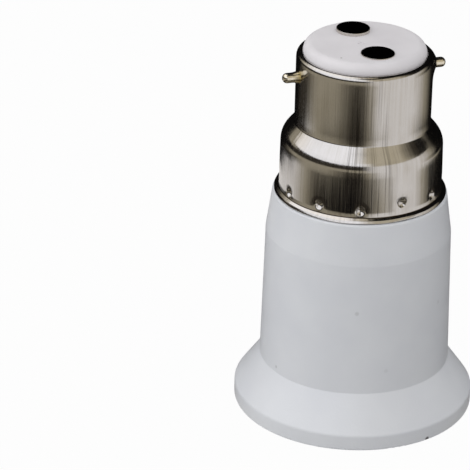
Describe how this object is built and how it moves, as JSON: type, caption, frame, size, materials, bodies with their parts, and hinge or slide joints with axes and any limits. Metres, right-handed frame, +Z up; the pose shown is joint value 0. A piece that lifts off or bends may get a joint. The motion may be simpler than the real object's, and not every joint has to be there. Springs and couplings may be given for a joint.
{
  "type": "lamp socket adapter",
  "caption": "Lamp socket adapter: a plated bayonet cap on a flared white body with a threaded brass socket for a screw-base lamp.",
  "frame": {"origin": "centre of the mouth's rim plane, on the adapter's axis", "axes": "+Z up the axis from the mouth to the bayonet cap, X along the bayonet pins, Y within 3 degrees of the line of the end contacts"},
  "size_m": [0.039, 0.039, 0.0635],
  "materials": {
    "white_plastic": "moulded, semi-gloss",
    "plate_plastic": "moulded, satin",
    "nickel_plate": "bright plate over drawn sheet",
    "pin_brass": "plated",
    "stud_black": "dark plate, satin",
    "shell_brass": "drawn, bright",
    "spring_bronze": "rolled strip",
    "rivet_steel": "plated",
    "live_cover": "extruded",
    "neutral_cover": "extruded"
  },
  "bodies": {
    "adapter": {"body": "white_plastic", "contact_plate": "plate_plastic", "bayonet_cap": "nickel_plate", "bayonet_pin_left": "pin_brass", "bayonet_pin_right": "pin_brass", "contact_stud_front": "stud_black", "contact_stud_rear": "stud_black", "screw_shell": "shell_brass", "centre_contact_rivet": "rivet_steel", "shell_rivet_front": "rivet_steel", "shell_rivet_rear": "rivet_steel", "live_lead": "live_cover", "neutral_lead": "neutral_cover"},
    "contact_tongue": {"centre_contact": "spring_bronze"}
  },
  "joints": [
    {"name": "contact_flex", "type": "hinge", "parent": "adapter", "child": "contact_tongue", "pos_m": [-0.00219, 0, 0.0289], "axis": [0, -1, 0], "range_deg": [0, 14], "stiffness_Nm_per_rad": 0.045, "deforming": ["centre_contact"]}
  ]
}
